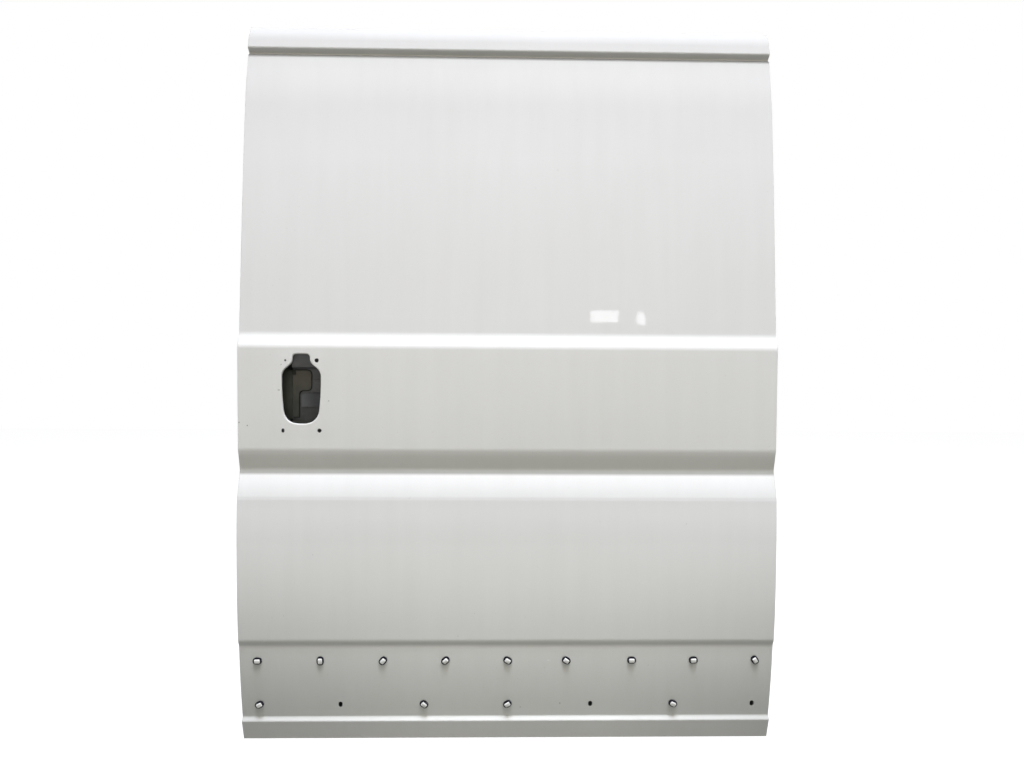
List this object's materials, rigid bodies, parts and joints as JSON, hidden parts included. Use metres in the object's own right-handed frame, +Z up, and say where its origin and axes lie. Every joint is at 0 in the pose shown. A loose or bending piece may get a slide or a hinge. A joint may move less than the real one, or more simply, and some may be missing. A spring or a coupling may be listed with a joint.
{
  "type": "van door",
  "caption": "Left-hand sliding side door of a panel van as a bare white shell: ribbed outer skin, inner pressings, handle cut-out and moulding clips, without glass, handle or rollers.",
  "frame": {"origin": "middle of the rear hinge seat's flat face, on the door's inner side near its rear edge", "axes": "+X along the van towards its rear, +Y out of the seat into the load space, +Z up"},
  "size_m": [1.36, 0.1596, 1.85],
  "materials": {
    "skin_paint": "satin white primer paint",
    "inner_paint": "matt grey primer with white overspray",
    "beam_steel": "dark dipped primer",
    "reinforcement": "grey dipped primer",
    "mastic": "matt expanding mastic",
    "clip_seal": "soft black foam",
    "clip_nylon": "white moulded nylon"
  },
  "bodies": {
    "root": {"outer_skin": "skin_paint", "inner_lower_panel": "inner_paint", "inner_upper_frame": "inner_paint", "waist_rail": "inner_paint", "impact_beam": "beam_steel", "beam_bracket_front": "beam_steel", "beam_bracket_rear": "beam_steel", "skin_bow_front": "inner_paint", "skin_bow_middle": "inner_paint", "skin_bow_rear": "inner_paint", "handle_reinforcement": "reinforcement", "handle_bracket": "reinforcement", "lock_pad": "reinforcement", "lever_plate": "reinforcement", "lock_reinforcement": "reinforcement", "hinge_reinforcement": "reinforcement", "roller_reinforcement_upper": "reinforcement", "roller_reinforcement_lower": "reinforcement", "mastic_upper": "mastic", "mastic_waist": "mastic", "mastic_lower": "mastic", "clip_seals_upper": "clip_seal", "clip_seals_lower": "clip_seal", "moulding_clip_upper_1": "clip_nylon", "moulding_clip_upper_2": "clip_nylon", "moulding_clip_upper_3": "clip_nylon", "moulding_clip_upper_4": "clip_nylon", "moulding_clip_upper_5": "clip_nylon", "moulding_clip_upper_6": "clip_nylon", "moulding_clip_upper_7": "clip_nylon", "moulding_clip_upper_8": "clip_nylon", "moulding_clip_upper_9": "clip_nylon", "moulding_clip_lower_1": "clip_nylon", "moulding_clip_lower_2": "clip_nylon", "moulding_clip_lower_3": "clip_nylon", "moulding_clip_lower_4": "clip_nylon"}
  },
  "joints": []
}
